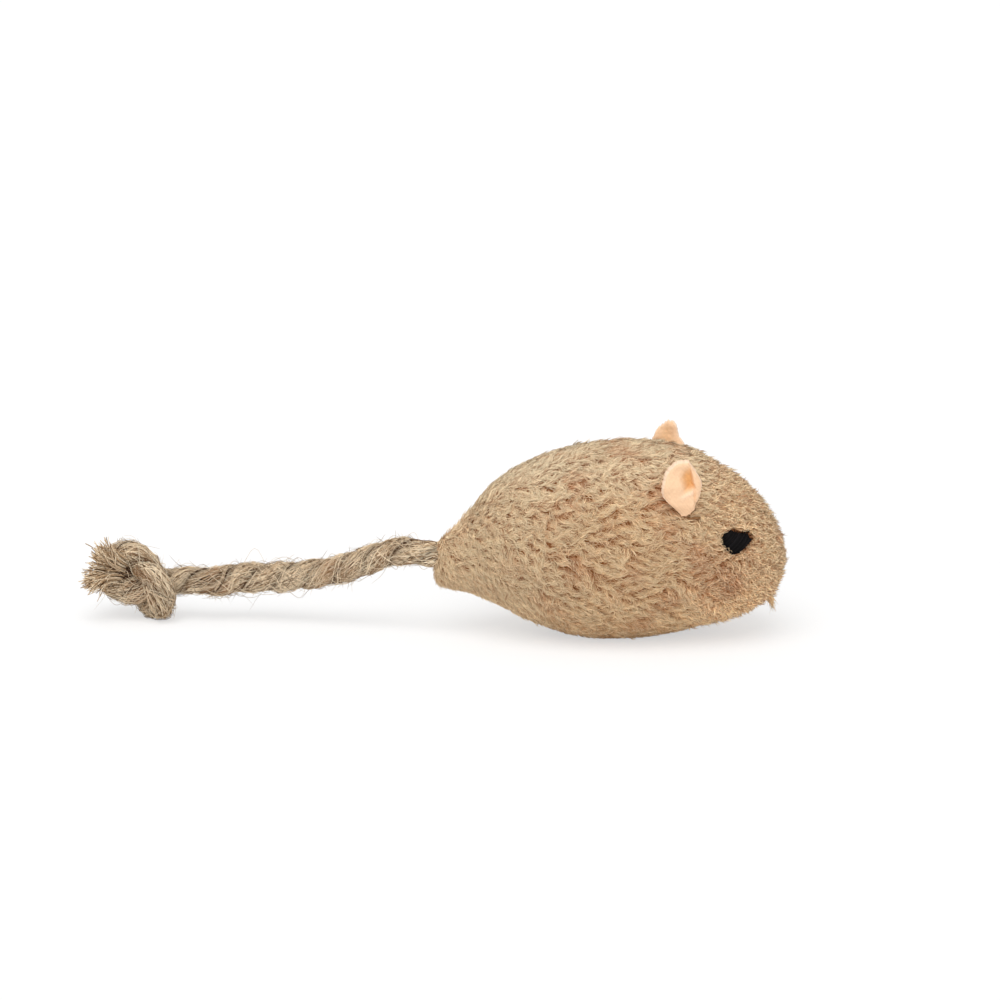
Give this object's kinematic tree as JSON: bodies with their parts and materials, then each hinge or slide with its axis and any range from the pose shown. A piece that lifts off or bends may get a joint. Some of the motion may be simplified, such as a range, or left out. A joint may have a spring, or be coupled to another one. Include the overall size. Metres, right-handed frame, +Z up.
{
  "type": "catnip mouse",
  "caption": "Stuffed plush mouse cat toy with felt ears, embroidered eyes, a fibre and catnip filling and a knotted rope tail that swings and lifts.",
  "frame": {"origin": "on the floor under the middle of the body, ears and all, without the tail", "axes": "+X towards the nose, +Y towards the mouse's left, +Z up"},
  "size_m": [0.1206, 0.0342, 0.0339],
  "materials": {
    "plush": "tan plush with a wavy clumped pile",
    "thread": "matte sewing thread",
    "wadding": "loose polyester fibre",
    "catnip": "dried crumbled leaf",
    "embroidery": "black embroidery thread with a soft sheen",
    "felt": "peach felt, matte and slightly fuzzy",
    "rope": "twisted jute with stray fibres"
  },
  "bodies": {
    "torso": {"right_side_panel": "plush", "left_side_panel": "plush", "belly_panel": "plush", "back_seam_thread": "thread", "right_belly_seam_thread": "thread", "left_belly_seam_thread": "thread", "closing_thread": "thread", "rump_filling": "wadding", "head_filling": "wadding", "catnip_charge": "catnip", "right_eye": "embroidery", "left_eye": "embroidery", "right_ear_tack": "thread", "left_ear_tack": "thread", "tail_anchor": "rope", "tail_tack": "thread"},
    "right_ear": {"right_ear": "felt"},
    "left_ear": {"left_ear": "felt"},
    "tail_root": {"tail_root": "rope"},
    "tail_end": {"tail_rope": "rope", "tail_knot": "rope", "tail_fray": "rope"}
  },
  "joints": [
    {"name": "right_ear_fold", "type": "hinge", "parent": "torso", "child": "right_ear", "pos_m": [0.0123, -0.01279, 0.02344], "axis": [0.9853, 0.1689, 0.0237], "range_deg": [-8, 60], "stiffness_Nm_per_rad": 0.00002},
    {"name": "left_ear_fold", "type": "hinge", "parent": "torso", "child": "left_ear", "pos_m": [0.0108, 0.01303, 0.02366], "axis": [-0.9913, 0.1306, -0.0184], "range_deg": [-8, 60], "stiffness_Nm_per_rad": 0.00002},
    {"name": "tail_swing", "type": "hinge", "parent": "torso", "child": "tail_root", "pos_m": [-0.0305, 0, 0.0139], "axis": [0, 0, 1], "range_deg": [-40, 60], "stiffness_Nm_per_rad": 0.002},
    {"name": "tail_lift", "type": "hinge", "parent": "tail_root", "child": "tail_end", "pos_m": [-0.0406, 0.0031, 0.0124], "axis": [0.2927, 0.9562, 0], "range_deg": [-35, 70], "stiffness_Nm_per_rad": 0.002}
  ]
}
